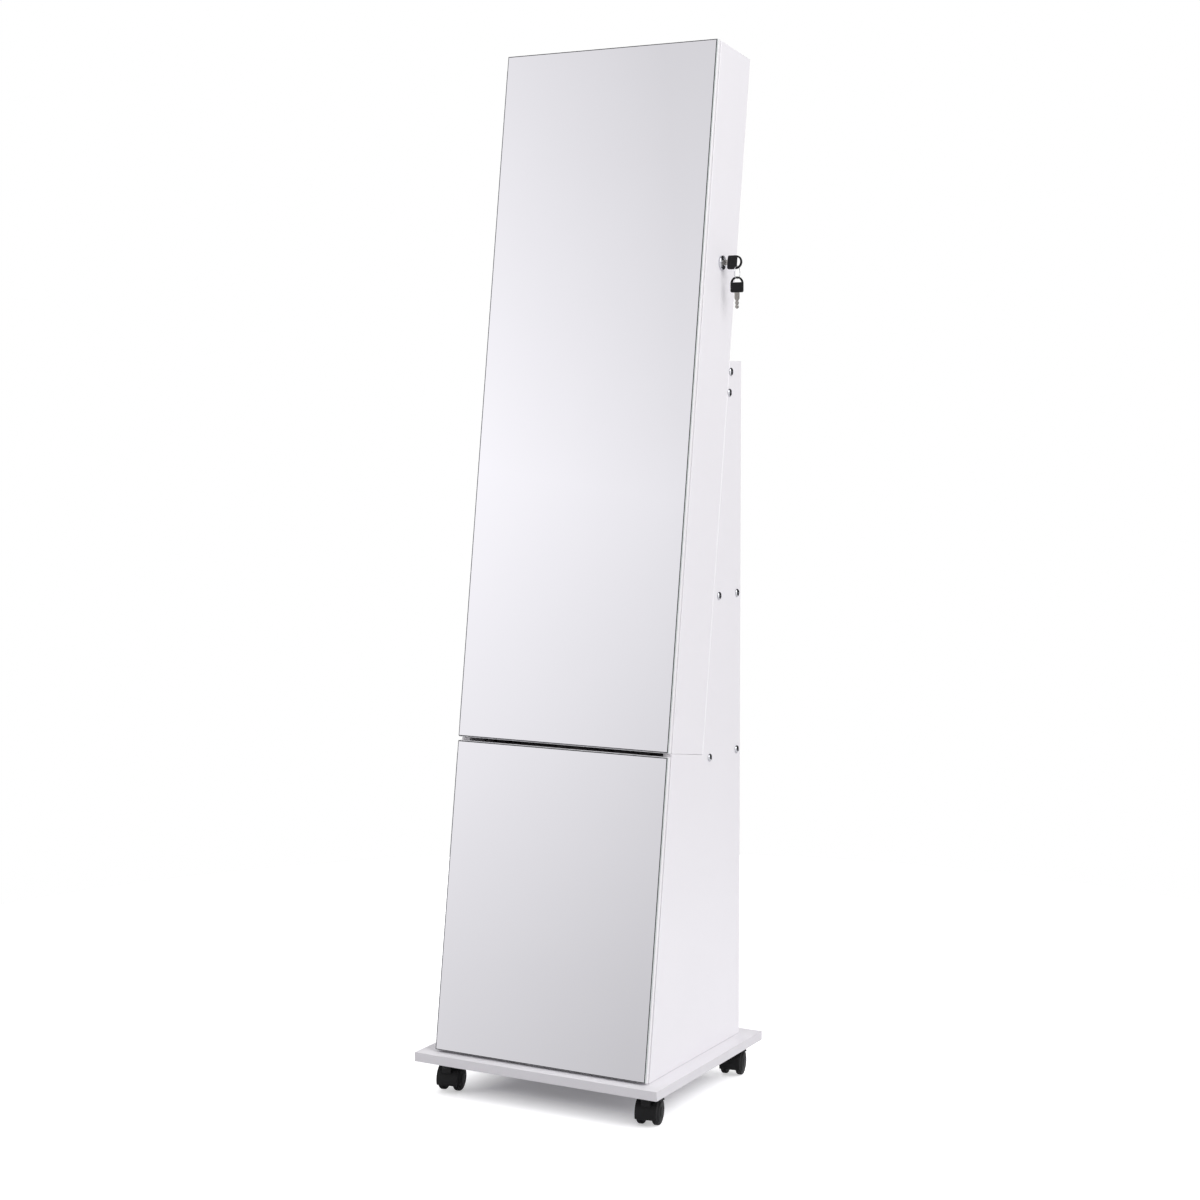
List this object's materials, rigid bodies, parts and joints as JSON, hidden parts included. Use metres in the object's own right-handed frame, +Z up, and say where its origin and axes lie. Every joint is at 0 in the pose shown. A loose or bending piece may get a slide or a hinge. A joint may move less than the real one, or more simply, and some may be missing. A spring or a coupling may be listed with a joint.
{
  "type": "mirrored jewelry cabinet",
  "caption": "Free-standing jewelry cabinet that leans back on a castor base, with a tall lockable mirrored door over a small mirrored cupboard and open shelves at the back.",
  "frame": {"origin": "on the floor, under the centre of the base board", "axes": "+Z up, +Y to the back, +X to the right of someone facing the mirrors"},
  "size_m": [0.4346, 0.3609, 1.6144],
  "materials": {
    "white_board": "white laminate",
    "mirror_glass": "silvered",
    "zinc_steel": "zinc plated",
    "chrome": "polished",
    "black_plastic": "satin",
    "felt": "black velvet"
  },
  "bodies": {
    "cabinet": {"base_board": "white_board", "stand_side_left": "white_board", "stand_side_right": "white_board", "deck_board": "white_board", "rear_shelf": "white_board", "rear_top_rail": "white_board", "lower_back_panel": "white_board", "box_side_left": "white_board", "box_side_right": "white_board", "box_top": "white_board", "box_bottom": "white_board", "box_back_panel": "white_board", "lower_tray": "white_board", "upper_tray": "white_board", "ring_tray": "white_board", "upper_hinge_fixed_leaf": "zinc_steel", "upper_hinge_pin": "zinc_steel", "lower_hinge_fixed_leaf": "zinc_steel", "lower_hinge_pin": "zinc_steel", "lock_nut": "zinc_steel", "castor_front_left_plate": "zinc_steel", "castor_front_right_plate": "zinc_steel", "castor_back_left_plate": "zinc_steel", "castor_back_right_plate": "zinc_steel", "lock_body": "chrome", "bracelet_bar": "chrome", "screw_left_rail_upper": "chrome", "screw_left_rail_lower": "chrome", "screw_left_shelf_rear": "chrome", "screw_left_shelf_front": "chrome", "screw_left_deck_rear": "chrome", "screw_left_deck_front": "chrome", "screw_right_rail_upper": "chrome", "screw_right_rail_lower": "chrome", "screw_right_shelf_rear": "chrome", "screw_right_shelf_front": "chrome", "screw_right_deck_rear": "chrome", "screw_right_deck_front": "chrome", "necklace_rail": "black_plastic", "ring_cushion": "felt"},
    "upper_door": {"upper_door_board": "white_board", "upper_door_mirror": "mirror_glass", "upper_hinge_door_leaf": "zinc_steel", "lock_keeper": "zinc_steel"},
    "lower_door": {"lower_door_board": "white_board", "lower_door_mirror": "mirror_glass", "lower_hinge_door_leaf": "zinc_steel"},
    "lock_core": {"lock_plug": "chrome", "lock_cam": "zinc_steel", "key": "black_plastic"},
    "key_ring": {"key_ring": "chrome"},
    "spare_key": {"spare_key": "black_plastic"},
    "castor_front_left": {"castor_front_left_hood": "black_plastic"},
    "castor_front_left_wheels": {"castor_front_left_wheels": "black_plastic"},
    "castor_front_right": {"castor_front_right_hood": "black_plastic"},
    "castor_front_right_wheels": {"castor_front_right_wheels": "black_plastic"},
    "castor_back_left": {"castor_back_left_hood": "black_plastic"},
    "castor_back_left_wheels": {"castor_back_left_wheels": "black_plastic"},
    "castor_back_right": {"castor_back_right_hood": "black_plastic"},
    "castor_back_right_wheels": {"castor_back_right_wheels": "black_plastic"}
  },
  "joints": [
    {"name": "upper_door_hinge", "type": "hinge", "parent": "cabinet", "child": "upper_door", "pos_m": [-0.188, -0.08077, 0.55091], "axis": [0, -0.1487, -0.9889], "range_deg": [0, 120]},
    {"name": "lower_door_hinge", "type": "hinge", "parent": "cabinet", "child": "lower_door", "pos_m": [-0.188, -0.15303, 0.07031], "axis": [0, -0.1487, -0.9889], "range_deg": [0, 120]},
    {"name": "lock_turn", "type": "hinge", "parent": "cabinet", "child": "lock_core", "pos_m": [0.185, 0.08255, 1.28175], "axis": [-1, 0, 0], "range_deg": [0, 90]},
    {"name": "key_ring_swing", "type": "hinge", "parent": "lock_core", "child": "key_ring", "pos_m": [0.2116, 0.08125, 1.2731], "axis": [1, 0, 0], "range_deg": [-85, 85]},
    {"name": "spare_key_swing", "type": "hinge", "parent": "key_ring", "child": "spare_key", "pos_m": [0.2116, 0.08125, 1.25668], "axis": [0, -1, 0], "range_deg": [-25, 45]},
    {"name": "castor_front_left_swivel", "type": "hinge", "parent": "cabinet", "child": "castor_front_left", "pos_m": [-0.1755, -0.1415, 0.045], "axis": [0, 0, 1], "continuous": true},
    {"name": "castor_front_left_roll", "type": "hinge", "parent": "castor_front_left", "child": "castor_front_left_wheels", "pos_m": [-0.17811, -0.12673, 0.02], "axis": [0.9848, 0.1736, 0], "continuous": true},
    {"name": "castor_front_right_swivel", "type": "hinge", "parent": "cabinet", "child": "castor_front_right", "pos_m": [0.1755, -0.1415, 0.045], "axis": [0, 0, 1], "continuous": true},
    {"name": "castor_front_right_roll", "type": "hinge", "parent": "castor_front_right", "child": "castor_front_right_wheels", "pos_m": [0.17289, -0.12673, 0.02], "axis": [0.9848, 0.1736, 0], "continuous": true},
    {"name": "castor_back_left_swivel", "type": "hinge", "parent": "cabinet", "child": "castor_back_left", "pos_m": [-0.1755, 0.1415, 0.045], "axis": [0, 0, 1], "continuous": true},
    {"name": "castor_back_left_roll", "type": "hinge", "parent": "castor_back_left", "child": "castor_back_left_wheels", "pos_m": [-0.17811, 0.15627, 0.02], "axis": [0.9848, 0.1736, 0], "continuous": true},
    {"name": "castor_back_right_swivel", "type": "hinge", "parent": "cabinet", "child": "castor_back_right", "pos_m": [0.1755, 0.1415, 0.045], "axis": [0, 0, 1], "continuous": true},
    {"name": "castor_back_right_roll", "type": "hinge", "parent": "castor_back_right", "child": "castor_back_right_wheels", "pos_m": [0.17289, 0.15627, 0.02], "axis": [0.9848, 0.1736, 0], "continuous": true}
  ]
}
